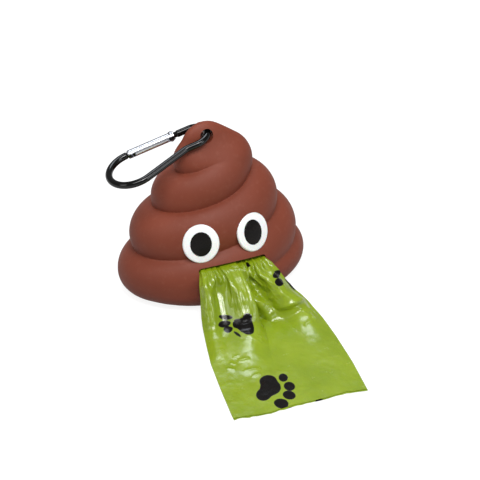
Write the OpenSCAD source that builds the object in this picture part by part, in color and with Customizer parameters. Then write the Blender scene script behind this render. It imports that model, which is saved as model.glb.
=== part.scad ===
// Dog waste bag dispenser: a soft swirl-shaped body that stands on a flat base,
// holds one roll of bags inside, feeds them out of a mouth slot and hangs from
// a small wire-gate carabiner through its tip.
// Origin: centre of the base, on the surface it stands on. +Z up, face towards -Y.

/* [Swirl] */
// Radius of the lowest turn at its widest point
first_turn_radius = 44.5; // [42:0.1:48]
// How much the turns draw in over the first turn
draw_in = 1.8; // [1.2:0.1:2.4]
// How fast the draw-in grows from turn to turn
draw_in_growth = 2.3; // [2:0.05:2.5]
// How far the coil's middle leans to the left
coil_lean = 1.1; // [0:0.1:1.6]
// Height that the coil's centre line would start from
coil_start_height = 3.1; // [2:0.1:4]
// Height gained by each turn
coil_pitch = 17.7; // [17:0.1:18.5]
// Rise of the coil's right side over its left
coil_tilt = 1.7; // [1:0.1:2.5]
// Lowest height of the coil's centre line
coil_floor_height = 8.3; // [7.8:0.1:9.2]
// Radius of the coil's section where it is fattest
coil_radius = 14.7; // [14:0.1:15.4]
// Turn at which the coil is fattest
fattest_turn = 1.7; // [1.5:0.05:1.9]
// How fast the coil thins away from its fattest turn
coil_thinning = 1.95; // [1.7:0.05:2.1]
// Front-to-back depth as a share of the width
depth_share = 0.73; // [0.7:0.01:0.78]
// How much of that share is lost where the body stands
base_undercut = 0.03; // [0:0.01:0.06]
// Height over which the undercut fades
undercut_height = 14; // [8:1:18]
// Width of the rim that it stands on, past the ends of the base opening
standing_rim = 5; // [4.6:0.1:6.5]
// Softness of the creases between the turns
crease_blend = 0.7; // [0.5:0.1:1.2]

/* [Tip] */
// How far the body's middle moves to the left below the tip
tip_lean = 3.5; // [2.5:0.1:4.5]
// Height over which it moves
lean_length = 25; // [20:1:30]
// Height of the middle of the cone under the tip
shoulder_height = 58.5; // [57:0.1:61]
// Sideways place of that cone
shoulder_offset = 5.1; // [4:0.1:6]
// Radius of that cone
shoulder_radius = 15.3; // [14:0.1:16]
// Height of the middle of the tip
tip_height = 70.4; // [69:0.1:72]
// Sideways place of the tip
tip_offset = -2; // [-3:0.1:-1]
// Radius of the tip
tip_radius = 10.6; // [10:0.1:11.2]
// How much thinner the tip is from front to back, as a share of the width
tip_pinch = 0.3; // [0.28:0.01:0.32]
// Height over which the tip thins
pinch_length = 12; // [10:0.5:14]
// Sideways place of the coil's rounded end, below the tip on the left
lobe_offset = -4; // [-5:0.1:-3]
// Height of the coil's end
lobe_height = 63.4; // [62:0.1:65]
// Radius of the coil's end
lobe_radius = 12.6; // [12:0.1:12.8]

/* [Shell] */
// Thickness of the soft wall
wall = 2.2; // [1.8:0.1:2.6]
// Thickness of the floor around the base opening
floor_thickness = 2.4; // [2:0.1:3]
// Height at which the hollow closes under the solid tip
hollow_top = 61; // [56:0.5:63]

/* [Base opening] */
// Length of the opening for the bag roll
opening_length = 60; // [56:0.5:62]
// Width of the opening for the bag roll
opening_width = 30; // [28:0.5:31]
// Wall of the rigid collar around the opening
collar_wall = 1.8; // [1.4:0.1:2.2]
// Height of the collar
collar_height = 3.4; // [3.2:0.1:3.8]
// How far the collar's flange grips over the floor
collar_flange = 0.9; // [0.6:0.1:1]
// Gap between the plug and the collar, all round
plug_clearance = 0.25; // [0.15:0.05:0.4]
// Thickness of the plug's plate
plug_thickness = 2; // [1.6:0.1:2.1]
// How far the plug's skirt stays below the collar's top
plug_skirt_drop = 0.2; // [0.1:0.05:0.4]
// Thickness of the plug's skirt
plug_skirt_wall = 1.4; // [1:0.1:1.8]
// Length of the fingernail recess in the plug
nail_recess_length = 20; // [16:0.5:24]
// Width of that recess
nail_recess_width = 5.4; // [4.6:0.1:5.6]
// Depth of that recess
nail_recess_depth = 3.2; // [2.8:0.1:3.6]

/* [Bag roll] */
// Width of the bags, folded as they are on the roll
bag_width = 62; // [58:0.5:64]
// Diameter of the roll with some bags used
roll_diameter = 18; // [17:0.1:18.6]
// Outer diameter of the card core
core_diameter = 13.4; // [12:0.1:14]
// Wall of the card core
core_wall = 0.9; // [0.6:0.1:1.2]
// Gap between the roll and what it lies on
roll_gap = 0.3; // [0.2:0.05:0.5]

/* [Mouth and bag] */
// Width of the mouth slot
mouth_width = 32; // [30:0.5:34]
// Height of the mouth slot
mouth_height = 2.8; // [2.4:0.1:3.6]
// Sideways place of the mouth's middle
mouth_offset = -1.4; // [-3:0.1:1]
// Thickness of the gathered film as a solid
film_thickness = 1; // [0.8:0.1:1.2]
// Gap between the gathered film and the ends of the slot
film_side_gap = 0.7; // [0.4:0.1:1]
// How far the bag reaches forward on the table
bag_reach = 110; // [100:1:120]

/* [Eyes] */
// Height of the eyes' middles
eye_height = 33.6; // [33:0.1:34.2]
// Azimuth of each eye's middle, left and right, from the front
eye_azimuths = [-24.5, 17.5]; // [-26:0.5:20]
// Width of an eye
eye_width = 16.5; // [16:0.1:18]
// Height of an eye along its face
eye_length = 18.3; // [17.6:0.1:19]
// How far an eye stands out of the body at its rim
eye_proud = 1.2; // [1:0.1:1.6]
// Extra bulge at the middle of an eye
eye_bulge = 0.5; // [0.4:0.1:0.8]
// Width of a pupil
pupil_width = 9.7; // [9:0.1:10.4]
// Height of a pupil along its face
pupil_length = 11.7; // [11:0.1:12.2]
// How far a pupil stands out of its eye
pupil_proud = 0.4; // [0.3:0.1:0.6]
// How deep a pupil sits in its eye
pupil_depth = 0.9; // [0.7:0.1:1.1]
// How far each pupil lies from the middle of its eye: sideways and up, left and right
pupil_offsets = [[-0.1, 0.3], [-0.6, 0.2]]; // [-1:0.1:1]
// Diameter of the peg that holds an eye
peg_diameter = 4; // [3:0.1:5]
// Length of that peg behind the eye's back
peg_length = 6; // [5:0.1:7]

/* [Carabiner] */
// Diameter of the carabiner's wire
wire_diameter = 3.2; // [3:0.1:3.4]
// Bend radius of the narrow end that passes through the tip
narrow_radius = 6.8; // [6.6:0.1:7.1]
// Length of the straight neck between the narrow end and the spine
neck_length = 4; // [3:0.1:5]
// Radius of the bend where the spine leaves the neck
kink_radius = 5; // [4:0.1:7]
// Angle at which the spine leaves the gate's line
spine_angle = 22; // [20:0.5:24]
// Length of the straight spine
spine_length = 21; // [20:0.1:23]
// Diameter of the gate
gate_diameter = 4; // [3.8:0.1:4.2]
// Diameter of the hole through the tip
ring_hole_diameter = 6.1; // [6:0.1:6.3]
// Height of the hole through the tip, above the tip's middle
ring_hole_rise = 5.4; // [5:0.1:5.8]
// Sideways place of that hole from the tip's middle
ring_hole_offset = 0.5; // [0:0.1:1]
// Turn of the carabiner's plane about the vertical
ring_turn = -7.5; // [-10:0.5:-6]
// Slope of the carabiner below the level
ring_slope = 16; // [14:0.5:18]
// Diameter of the gate's rivet
rivet_diameter = 1.2; // [1:0.05:1.4]
// Diameter of the gate's catch pin
catch_pin_diameter = 1; // [0.9:0.05:1.1]
// Thickness of the flattened tongues at the wire's ends
tongue_thickness = 1.4; // [1.2:0.05:1.5]
// Running clearance of a tongue in its slot, each side
tongue_clearance = 0.15; // [0.1:0.05:0.2]
// Running clearance of the rivet in the gate
rivet_clearance = 0.05; // [0.02:0.01:0.08]

/* [Hidden] */
$fn = 64;

// Faces around the outer and inner surfaces of the shell, and slices up them
outer_sides = 60;
outer_slices = 46;
crown_slices = 9;
inner_sides = 36;
inner_slices = 18;
first_turn = -0.5;
last_turn = 3.5;
crown_height = 8;
// How the coil's ends fade: reach lost per turn below its start, and turns to close over
start_draw_in = 6;
end_fade = 0.12;
// Height over which a turn opens from its poles
turn_opening = 4;
core_taper = 1.55;
// Height from which the hollow draws in to its top
dome_start = 40;
body_top = tip_height + tip_radius;
lean_start = tip_height + tip_radius / 2 - lean_length;
pinch_start = tip_height - 0.72 * tip_radius;
standing_radius = opening_length / 2 + standing_rim;
brown = [0.50, 0.26, 0.22];

// ---- The swirl's surface -------------------------------------------------

function ease(t) = let (u = min(1, max(0, t))) u * u * (3 - 2 * u);

// Radius, height and section radius of the coil, t turns along it
function coil_reach(t) = let (u = max(t, 0))
    first_turn_radius - draw_in * u - draw_in_growth * u * u
    - coil_lean * cos(360 * t) + start_draw_in * min(t, 0);
function coil_height(t) =
    max(coil_floor_height, coil_start_height + coil_pitch * t + coil_tilt * cos(360 * t));
function coil_section(t) = coil_radius - coil_thinning * pow(t - fattest_turn, 2);

// How far the body's middle has moved sideways at height z
function middle(z) = -tip_lean * ease((z - lean_start) / lean_length);

// Reach of one turn of the coil at azimuth part f (of a turn) and height z
function turn_reach(f, z, n) =
    let (t = n + f, u = min(last_turn, max(first_turn, t)))
    let (a = coil_section(u) * (1 - ease(abs(t - u) / end_fade)), q = a * a - pow(z - coil_height(u), 2))
    a < 0.5 || q <= 0 ? 0 :
    let (s = sqrt(q), open = ease(s / turn_opening))
    (coil_reach(u) - a) * open + s - middle(z) * cos(360 * f) * open;

// Reach of a ball of radius r at sideways place x and height h
function ball_reach(f, z, x, h, r) =
    let (q = r * r - pow(z - h, 2), c = x - middle(z), b = c * cos(360 * f))
    let (d = b * b - c * c + q)
    q <= 0 || d <= 0 ? 0 : max(0, b + sqrt(d));

// The solid middle that the turns are wound on, as wide as the standing rim at the bottom
function core_reach(z) = standing_radius * (1 - pow(min(1, max(0, z / tip_height)), core_taper));

// How the tip grows out of the cone under it, as five balls
function neck_reaches(f, z) = [for (k = [0:0.25:1]) ball_reach(f, z,
    shoulder_offset + k * (tip_offset - shoulder_offset),
    shoulder_height + k * (tip_height - shoulder_height),
    shoulder_radius + k * (tip_radius - shoulder_radius))];

// Soft maximum: the reaches blend where two of them are nearly equal
function blended(reaches) = let (top = max(reaches))
    top + crease_blend * ln(sum_exp(reaches, top, 0));
function sum_exp(v, top, i) = i == len(v) ? 0 :
    exp((v[i] - top) / crease_blend) + sum_exp(v, top, i + 1);

// Reach of the body at azimuth part f and height z, before the depth is taken in
function reach(f, z) = blended(concat([for (n = [-1:3]) turn_reach(f, z, n)], [core_reach(z)],
    neck_reaches(f, z), [ball_reach(f, z, lobe_offset, lobe_height, lobe_radius)]));

function depth_at(z) = depth_share - base_undercut * (1 - ease(z / undercut_height))
    - tip_pinch * ease((z - pinch_start) / pinch_length);
function at(f, z, r) = [middle(z) + r * cos(360 * f), depth_at(z) * r * sin(360 * f), z];
function surface_point(azimuth, z) = let (f = azimuth / 360) at(f, z, reach(f, z));

// Reach of the hollow: inside the wall both sideways and upwards, closed by a dome
function hollow_reach(f, z) =
    let (w = wall / depth_share, nearest = min(reach(f, z - wall), reach(f, z), reach(f, z + wall)))
    let (dome = 1 - pow(max(0, z - dome_start) / (hollow_top - dome_start), 2))
    max(0.4, (nearest - w) * sqrt(max(0, dome)));

// A closed skin through rings of points, with a point at each end
module skin(rings, low, high) {
    n = len(rings[0]);
    m = len(rings);
    pts = concat([for (r = rings) each r], [low, high]);
    sides = [for (j = [0:m - 2], i = [0:n - 1]) let (k = (i + 1) % n) each
        [[j * n + i, (j + 1) * n + i, (j + 1) * n + k], [j * n + i, (j + 1) * n + k, j * n + k]]];
    bottom = [for (i = [0:n - 1]) [m * n, i, (i + 1) % n]];
    top = [for (i = [0:n - 1]) [m * n + 1, (m - 1) * n + (i + 1) % n, (m - 1) * n + i]];
    polyhedron(pts, concat(sides, bottom, top));
}

// ---- Shapes used more than once -------------------------------------------

// A bar with round ends, lying along X
module stadium(length, width, height) {
    straight = length - width;
    translate([-straight / 2, -width / 2, 0]) cube([straight, width, height]);
    for (x = [-1, 1]) translate([x * straight / 2, 0, 0]) cylinder(h = height, d = width);
}

// An oval button facing -Y: flat back at y = 0, rounded rim, bulging face
module oval_button(width, length, rim, bulge) {
    sides = 36;
    steps = 6;
    function face_depth(u) = rim * sqrt(1 - pow(u, 8)) + bulge * (1 - u * u);
    function ring(u, y) = [for (i = [0:sides - 1]) let (a = 360 * i / sides)
        [u * width / 2 * cos(a), y, u * length / 2 * sin(a)]];
    rings = concat([ring(0.97, 0), ring(1, -0.15 * rim)],
        [for (j = [0:steps - 1]) let (u = cos(90 * (j + 0.6) / steps)) ring(u, -face_depth(u) * 0.999)]);
    skin(rings, [0, 0, 0], [0, -face_depth(0), 0]);
}

// ---- Eyes -------------------------------------------------------------------

// Each eye lies on the plane through four points of the body round its rim
eye_spread = 15;
eye_rise = 8;
function eye_points(side) = let (a = -90 + eye_azimuths[side], da = eye_spread, dz = eye_rise) [
    surface_point(a - da, eye_height), surface_point(a + da, eye_height),
    surface_point(a, eye_height - dz), surface_point(a, eye_height + dz)];
function eye_middle(side) = let (p = eye_points(side)) (p[0] + p[1] + p[2] + p[3]) / 4;
function eye_normal(side) = let (p = eye_points(side), v = cross(p[1] - p[0], p[3] - p[2])) v / norm(v);

module place_eye(side) {
    v = eye_normal(side);
    translate(eye_middle(side)) rotate([-asin(v[2]), 0, atan2(v[0], -v[1])]) children();
}

// The outline of a pupil or its seat, as a prism facing -Y from y = 0
module oval_prism(width, length, depth) {
    rotate([90, 0, 0]) linear_extrude(depth)
        polygon([for (i = [0:35]) [width / 2 * cos(10 * i), length / 2 * sin(10 * i)]]);
}

module place_pupil(side) {
    offset = pupil_offsets[side];
    place_eye(side) translate([offset[0], pupil_depth - eye_proud - eye_bulge, offset[1]]) children();
}

module eye_white(side) {
    color("white") {
        difference() {
            place_eye(side) oval_button(eye_width, eye_length, eye_proud, eye_bulge);
            place_pupil(side) oval_prism(pupil_width, pupil_length, 2 * pupil_depth);
        }
        place_eye(side) rotate([-90, 0, 0]) cylinder(h = peg_length, d = peg_diameter);
    }
}

module pupil(side) {
    color([0.1, 0.09, 0.1]) place_pupil(side)
        oval_button(pupil_width, pupil_length, pupil_depth, pupil_proud);
}

// ---- Shell ------------------------------------------------------------------

function ring_at(z, sides) = [for (i = [0:sides - 1]) surface_point(360 * i / sides, z)];
outer_heights = concat(
    [for (j = [0:outer_slices - 1]) (body_top - crown_height) * j / (outer_slices - 1)],
    [for (j = [1:crown_slices]) body_top - crown_height * (1 - sin(88 * j / crown_slices))]);
inner_heights = [for (j = [0:inner_slices - 1])
    floor_thickness + (hollow_top - 0.4 - floor_thickness) * (1 - pow(1 - j / (inner_slices - 1), 1.3))];

roll_height = collar_height + roll_gap + roll_diameter / 2;
film_height = roll_height + roll_diameter / 2 + roll_gap + film_thickness / 2;
front_y = surface_point(-90, film_height)[1];
mouth_cut = 2 * wall / depth_share + 12;
eye_seat_gap = 0.1;
seat_length = opening_length + 2 * collar_wall;
seat_width = opening_width + 2 * collar_wall;

// The carabiner's hole in the tip, along local Y
ring_hole = [tip_offset + ring_hole_offset, 0, tip_height + ring_hole_rise];
module place_ring() {
    translate(ring_hole) rotate([0, 180 - ring_slope, ring_turn]) children();
}

module body_shell() {
    color(brown) difference() {
        skin([for (z = outer_heights) ring_at(z, outer_sides)], [0, 0, 0], [tip_offset, 0, body_top]);
        skin([for (z = inner_heights) [for (i = [0:inner_sides - 1]) let (f = i / inner_sides)
            at(f, z, hollow_reach(f, z))]], [0, 0, floor_thickness], [middle(hollow_top), 0, hollow_top]);
        // The mouth, through the front wall
        translate([mouth_offset, front_y + mouth_cut / 2, film_height]) rotate([90, 0, 0])
            stadium(mouth_width, mouth_height, mouth_cut);
        // The base opening with the collar's seat, and room for the collar's flange over the floor
        translate([0, 0, -1]) stadium(seat_length, seat_width, floor_thickness + 3);
        translate([0, 0, floor_thickness]) stadium(seat_length + 2 * collar_flange,
            seat_width + 2 * collar_flange, collar_height - floor_thickness);
        // The hole through the tip
        place_ring() rotate([90, 0, 0]) cylinder(h = 4 * tip_radius, d = ring_hole_diameter, center = true);
        // The eyes' seats and the holes for their pegs
        for (side = [0, 1]) place_eye(side) {
            oval_prism(eye_width + eye_seat_gap, eye_length + eye_seat_gap, eye_length / 2);
            rotate([-90, 0, 0]) translate([0, 0, -1]) cylinder(h = peg_length + 3, d = peg_diameter);
        }
    }
}

// ---- Base -------------------------------------------------------------------

module base_collar() {
    color([0.36, 0.2, 0.17]) difference() {
        union() {
            stadium(seat_length, seat_width, collar_height);
            translate([0, 0, floor_thickness]) stadium(seat_length + 2 * collar_flange,
                seat_width + 2 * collar_flange, collar_height - floor_thickness);
        }
        translate([0, 0, -1]) stadium(opening_length, opening_width, collar_height + 2);
    }
}

plug_length = opening_length - 2 * plug_clearance;
plug_width = opening_width - 2 * plug_clearance;

module base_plug() {
    skirt_height = collar_height - plug_skirt_drop;
    inner_edge = plug_width / 2 - plug_skirt_wall;
    recess_edge = inner_edge - 0.3;
    lip = 1.4;
    color([0.36, 0.2, 0.17]) difference() {
        union() {
            difference() {
                stadium(plug_length, plug_width, skirt_height);
                translate([0, 0, plug_thickness]) stadium(plug_length - 2 * plug_skirt_wall,
                    plug_width - 2 * plug_skirt_wall, skirt_height);
            }
            // The box over the fingernail recess
            translate([-nail_recess_length / 2 - 1, recess_edge - nail_recess_width - 1, 0.5])
                cube([nail_recess_length + 2, nail_recess_width + 2, nail_recess_depth + 0.5]);
        }
        // The recess, wider above its mouth so that a lip is left to pull on
        translate([-nail_recess_length / 2, recess_edge - nail_recess_width, 1])
            cube([nail_recess_length, nail_recess_width, nail_recess_depth - 1]);
        translate([-nail_recess_length / 2, recess_edge - nail_recess_width, -1])
            cube([nail_recess_length, nail_recess_width - lip, 2.5]);
    }
}

// ---- Roll and bag -----------------------------------------------------------

module tube(length, outer, inner) {
    rotate([0, 90, 0]) difference() {
        cylinder(h = length, d = outer, center = true);
        cylinder(h = length + 2, d = inner, center = true);
    }
}

module roll_core() {
    color([0.12, 0.12, 0.12]) translate([0, 0, roll_height])
        tube(bag_width, core_diameter, core_diameter - 2 * core_wall);
}

module bag_roll() {
    color([0.58, 0.74, 0.22]) translate([0, 0, roll_height])
        tube(bag_width - 1, roll_diameter, core_diameter);
}

// The bag in use: gathered through the mouth, down the front and out over the table.
// A row lies across the film: the place of its middle, its width, and how far its left end leads
function row(x, y, z, width, lead = 0) = [[x - width / 2, y + lead / 2, z], [x + width / 2, y - lead / 2, z]];
gathered_width = mouth_width - 2 * film_side_gap;
flat_z = film_thickness / 2;
bag_rows = [
    row(mouth_offset, 2, film_height, gathered_width),
    row(mouth_offset, front_y - 1, film_height, gathered_width),
    row(-1.7, front_y - 3.2, film_height - 1, 0.56 * bag_width),
    row(-1, front_y - 5, film_height - 5, 0.62 * bag_width),
    row(0.3, front_y - 6.2, film_height / 2 + flat_z, 0.68 * bag_width),
    row(2.5, front_y - 8, 10 * flat_z, 0.77 * bag_width),
    row(3.4, front_y - 11.5, 2.2 * flat_z, 0.83 * bag_width),
    row(3.1, front_y - 20, flat_z, 0.88 * bag_width),
    row(0.4, front_y - 38, flat_z, 0.93 * bag_width),
    row(-5.3, 1.5 - bag_reach, flat_z, 0.98 * bag_width, 6.2)];

module bag() {
    n = len(bag_rows);
    // Across the film, square to its run
    function run(i) = let (a = bag_rows[max(0, i - 1)], b = bag_rows[min(n - 1, i + 1)],
        d = (b[0] + b[1]) / 2 - (a[0] + a[1]) / 2) [0, d[1], d[2]] / norm([0, d[1], d[2]]);
    function up(i) = i > n - 5 ? [0, 0, 1] : let (d = run(i)) [0, d[2], -d[1]];
    rings = [for (i = [0:n - 1]) let (h = up(i) * film_thickness / 2, l = bag_rows[i][0], r = bag_rows[i][1])
        [l - h, r - h, r + h, l + h]];
    faces = concat(
        [for (i = [0:n - 2], k = [0:3]) let (a = 4 * i + k, b = 4 * i + (k + 1) % 4) each
            [[a, a + 4, b], [b, a + 4, b + 4]]],
        [[0, 1, 2], [0, 2, 3], [4 * n - 4, 4 * n - 2, 4 * n - 3], [4 * n - 4, 4 * n - 1, 4 * n - 2]]);
    color([0.58, 0.74, 0.22]) polyhedron([for (r = rings) each r], faces);
}

// ---- Carabiner --------------------------------------------------------------
// Local frame: X along the gate from the tip, Y from the spine to the gate, Z across the loop

kink_middle = [narrow_radius + neck_length, -narrow_radius - kink_radius];
spine_start = kink_middle + kink_radius * [sin(spine_angle), cos(spine_angle)];
spine_end = spine_start + spine_length * [cos(spine_angle), -sin(spine_angle)];
wide_radius = (narrow_radius - spine_end[1]) / (1 + cos(spine_angle));
wide_middle = spine_end + wide_radius * [sin(spine_angle), cos(spine_angle)];
// Half the sag of the narrow bend where it leaves the tip, a little outside the hole's edge
tip_half_depth = 1.24 * depth_at(ring_hole[2]) * sqrt(pow(tip_radius, 2) - pow(ring_hole_rise, 2));
ring_sag = (narrow_radius - sqrt(pow(narrow_radius, 2) - pow(tip_half_depth, 2))) / 2;
// Places along the gate: its hinge, its two ends, the stub that carries it and its catch
hinge_past_bend = 8.4;
gate_past_hinge = 1.6;
stub_to_hinge = 2.6;
catch_from_bend = 2.2;
hinge_x = narrow_radius + hinge_past_bend;
gate_back = hinge_x - gate_past_hinge;
wire_stub_end = hinge_x - stub_to_hinge;
gate_front = wide_middle[0] - 0.3;
catch_x = wide_middle[0] - catch_from_bend;
tongue_width = 2.5;
catch_tongue_width = 2.6;
catch_notch = catch_pin_diameter + 0.3;
rivet_head = [2, 0.4];
slot_width = tongue_thickness + 2 * tongue_clearance;
spring_bore = 2.4;
spring_start = hinge_x + 4.6;
spring_end = hinge_x + 9.8;

module place_carabiner() {
    place_ring() translate([-ring_sag, 0, 0]) children();
}

// Points of a bend of the wire about a middle, as [x, y, heading]
function bend(about, radius, start, sweep, steps) = [for (i = [0:steps]) let (a = start + sweep * i / steps)
    [about[0] + radius * cos(a), about[1] + radius * sin(a), a + 90 * sign(sweep)]];

// The wire's middle line: hinge stub, narrow bend, neck, kink, straight spine, wide bend
wire_path = concat(
    [[wire_stub_end, narrow_radius, 180]],
    bend([narrow_radius, 0], narrow_radius, 90, 180, 24),
    bend(kink_middle, kink_radius, 90, -spine_angle, 5),
    bend(wide_middle, wide_radius, -90 - spine_angle, 180 + spine_angle, 30));

module carabiner_wire() {
    sides = 16;
    rings = [for (p = wire_path) [for (k = [0:sides - 1]) let (a = 360 * k / sides, r = wire_diameter / 2)
        [p[0] - r * cos(a) * sin(p[2]), p[1] + r * cos(a) * cos(p[2]), r * sin(a)]]];
    last = len(wire_path) - 1;
    color([0.07, 0.07, 0.07]) place_carabiner() difference() {
        union() {
            skin(rings, [wire_path[0][0], wire_path[0][1], 0], [wire_path[last][0], wire_path[last][1], 0]);
            // Tongue that the gate turns on
            translate([wire_stub_end - 0.5, narrow_radius - tongue_width / 2, -tongue_thickness / 2])
                cube([hinge_x - wire_stub_end + 0.5, tongue_width, tongue_thickness]);
            translate([hinge_x, narrow_radius, -tongue_thickness / 2])
                cylinder(h = tongue_thickness, d = tongue_width);
            // Tongue that the gate closes on
            translate([catch_x - 1.4, narrow_radius - catch_tongue_width / 2, -tongue_thickness / 2])
                cube([wide_middle[0] - catch_x + 1.9, catch_tongue_width, tongue_thickness]);
        }
        translate([hinge_x, narrow_radius, -3]) cylinder(h = 6, d = rivet_diameter);
        translate([catch_x, narrow_radius, -3]) cylinder(h = 6, d = catch_notch);
        translate([catch_x - catch_notch / 2, narrow_radius - 4, -3])
            cube([catch_notch, 4, 6]);
    }
}

module gate_tube() {
    color([0.75, 0.76, 0.8]) place_carabiner() difference() {
        translate([gate_back, narrow_radius, 0]) rotate([0, 90, 0])
            cylinder(h = gate_front - gate_back, d = gate_diameter);
        translate([gate_back - 1, narrow_radius - 4, -slot_width / 2])
            cube([hinge_x + 1.9 - gate_back + 1, 8, slot_width]);
        translate([catch_x - 1.8, narrow_radius - 4, -slot_width / 2])
            cube([6, 8, slot_width]);
        translate([hinge_x + 1.5, narrow_radius, 0]) rotate([0, 90, 0])
            cylinder(h = spring_end - hinge_x - 1.4, d = spring_bore);
        translate([hinge_x, narrow_radius, -4]) cylinder(h = 8, d = rivet_diameter + 2 * rivet_clearance);
        translate([catch_x, narrow_radius, -4]) cylinder(h = 8, d = catch_pin_diameter);
    }
}

module gate_rivet() {
    color([0.62, 0.63, 0.66]) place_carabiner() translate([hinge_x, narrow_radius, 0]) {
        head_z = gate_diameter / 2 + 0.05;
        cylinder(h = 2 * (head_z + rivet_head[1]), d = rivet_diameter, center = true);
        for (z = [head_z, -head_z - rivet_head[1]]) translate([0, 0, z])
            cylinder(h = rivet_head[1], d = rivet_head[0]);
    }
}

module gate_catch_pin() {
    color([0.62, 0.63, 0.66]) place_carabiner() translate([catch_x, narrow_radius, 0])
        cylinder(h = gate_diameter - 0.3, d = catch_pin_diameter, center = true);
}

module gate_plunger() {
    color([0.6, 0.6, 0.62]) place_carabiner() translate([0, narrow_radius, 0]) rotate([0, 90, 0]) {
        translate([0, 0, hinge_x + 2.3]) cylinder(h = spring_start - hinge_x - 2.3, d = spring_bore - 0.2);
        translate([0, 0, hinge_x + 1.7]) cylinder(h = 1, d = 1.4);
    }
}

module gate_spring() {
    turns = 6;
    steps = 12;
    wire = 0.36;
    coil = (spring_bore - 0.3 - wire) / 2;
    count = turns * steps;
    function centre(i) = let (a = 360 * i / steps)
        [spring_start + wire / 2 + (spring_end - spring_start - wire) * i / count,
            coil * cos(a), coil * sin(a)];
    rings = [for (i = [0:count]) let (a = 360 * i / steps, c = centre(i))
        [for (k = [0:5]) c + wire / 2 * (cos(60 * k) * [0, cos(a), sin(a)] + sin(60 * k) * [1, 0, 0])]];
    color([0.7, 0.7, 0.72]) place_carabiner() translate([0, narrow_radius, 0])
        skin(rings, centre(0), centre(count));
}

body_shell();
base_collar();
base_plug();
eye_white(0);  // eye_white_left
eye_white(1);  // eye_white_right
pupil(0);  // pupil_left
pupil(1);  // pupil_right
roll_core();
bag_roll();
bag();
carabiner_wire();
gate_tube();
gate_rivet();
gate_catch_pin();
gate_spring();
gate_plunger();
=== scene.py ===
"""Dog waste bag dispenser: the looks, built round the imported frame.

Lengths here are in millimetres, and mesh() turns them into metres. Lamps and the camera are in metres.
The swirl, the eyes' seats and the carabiner's line follow the same sizes as part.scad.
"""
import math

import bpy
import numpy as np
from mathutils import Matrix, Vector


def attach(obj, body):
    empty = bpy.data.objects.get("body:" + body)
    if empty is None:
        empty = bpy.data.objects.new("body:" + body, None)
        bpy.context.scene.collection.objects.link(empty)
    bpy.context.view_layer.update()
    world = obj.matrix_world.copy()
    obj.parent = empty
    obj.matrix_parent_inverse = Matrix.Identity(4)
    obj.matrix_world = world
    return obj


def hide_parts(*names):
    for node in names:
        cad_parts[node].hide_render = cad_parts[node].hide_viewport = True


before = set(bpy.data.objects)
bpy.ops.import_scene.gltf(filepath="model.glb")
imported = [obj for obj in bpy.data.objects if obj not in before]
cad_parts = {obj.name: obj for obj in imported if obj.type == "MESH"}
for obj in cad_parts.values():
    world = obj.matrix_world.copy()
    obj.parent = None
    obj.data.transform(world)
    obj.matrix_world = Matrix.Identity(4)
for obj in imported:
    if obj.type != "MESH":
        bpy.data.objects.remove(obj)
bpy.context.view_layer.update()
MM = 0.001

# ---- Sizes of the swirl ----
FIRST_TURN_RADIUS = 44.5
DRAW_IN = 1.8
DRAW_IN_GROWTH = 2.3
COIL_LEAN = 1.1
COIL_START_HEIGHT = 3.1
COIL_PITCH = 17.7
COIL_TILT = 1.7
COIL_FLOOR_HEIGHT = 8.3
COIL_RADIUS = 14.7
FATTEST_TURN = 1.7
COIL_THINNING = 1.95
DEPTH_SHARE = 0.73
BASE_UNDERCUT = 0.03
UNDERCUT_HEIGHT = 14.0
CREASE_BLEND = 0.7
FIRST_TURN = -0.5
LAST_TURN = 3.5
START_DRAW_IN = 6.0  # how fast the coil's start is drawn in before turn 0
END_FADE = 0.12  # part of a turn over which the coil's ends close
TURN_OPENING = 4.0
CORE_TAPER = 1.55
SHOULDER = (5.1, 58.5, 15.3)  # sideways place, height, radius
TIP = (-2.0, 70.4, 10.6)
LOBE = (-4.0, 63.4, 12.6)
TIP_LEAN = 3.5
LEAN_LENGTH = 25.0
TIP_PINCH = 0.3
TIP_FULLNESS = 1.24  # how much deeper the tip is at its hole than a lone ball
PINCH_LENGTH = 12.0
BODY_TOP = TIP[1] + TIP[2]
LEAN_START = TIP[1] + TIP[2] / 2 - LEAN_LENGTH
PINCH_START = TIP[1] - 0.72 * TIP[2]
WALL = 2.2
FLOOR_THICKNESS = 2.4
HOLLOW_TOP = 61.0
DOME_START = 40.0  # height from which the hollow closes
OPENING = (60.0, 30.0)
COLLAR_WALL = 1.8
COLLAR_FLANGE = 0.9
COLLAR_HEIGHT = 3.4
PLUG_CLEARANCE = 0.25
PLUG_THICKNESS = 2.0
PLUG_SKIRT_WALL = 1.4
PLUG_SKIRT_DROP = 0.2  # how far the skirt's top is below the collar's
NAIL_RECESS = (20.0, 5.4, 3.2)  # length, width, depth
STANDING_RADIUS = OPENING[0] / 2 + 5.0

# ---- Sizes of what is on it ----
MOUTH_WIDTH = 32.0
MOUTH_HEIGHT = 2.8
MOUTH_OFFSET = -1.4
MOUTH_CUT = 18.0  # how deep its tool is
MOUTH_ARCH = 1.2  # how much lower its ends are than its middle
ROLL_DIAMETER = 18.0
ROLL_HEIGHT = 12.7  # of its axis
CORE_DIAMETER = 13.4
BAG_WIDTH = 62.0  # of the flat tube of film
FILM_HEIGHT = 22.5
EYE_HEIGHT = 33.6
EYE_AZIMUTHS = {"left": -24.5, "right": 17.5}
EYE_SIZE = (16.5, 18.3)
EYE_SPREAD = 15  # a seat takes its slope from this many degrees to each side
EYE_RISE = 8  # and this many millimetres up and down
EYE_OVERLAP = 0.15  # how far an eye's rim covers its seat's edge
EYE_PROUD = 1.2
EYE_BULGE = 0.5
EYE_SUNK = 0.8  # how far its back reaches into the shell
PUPIL_SIZE = (9.7, 11.7)
PUPIL_PROUD = 0.4
PUPIL_RIM = 0.15  # how much of that its rim has
PUPIL_DEPTH = 0.9
PUPIL_OFFSETS = {"left": (-0.1, 0.3), "right": (-0.6, 0.2)}
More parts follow.
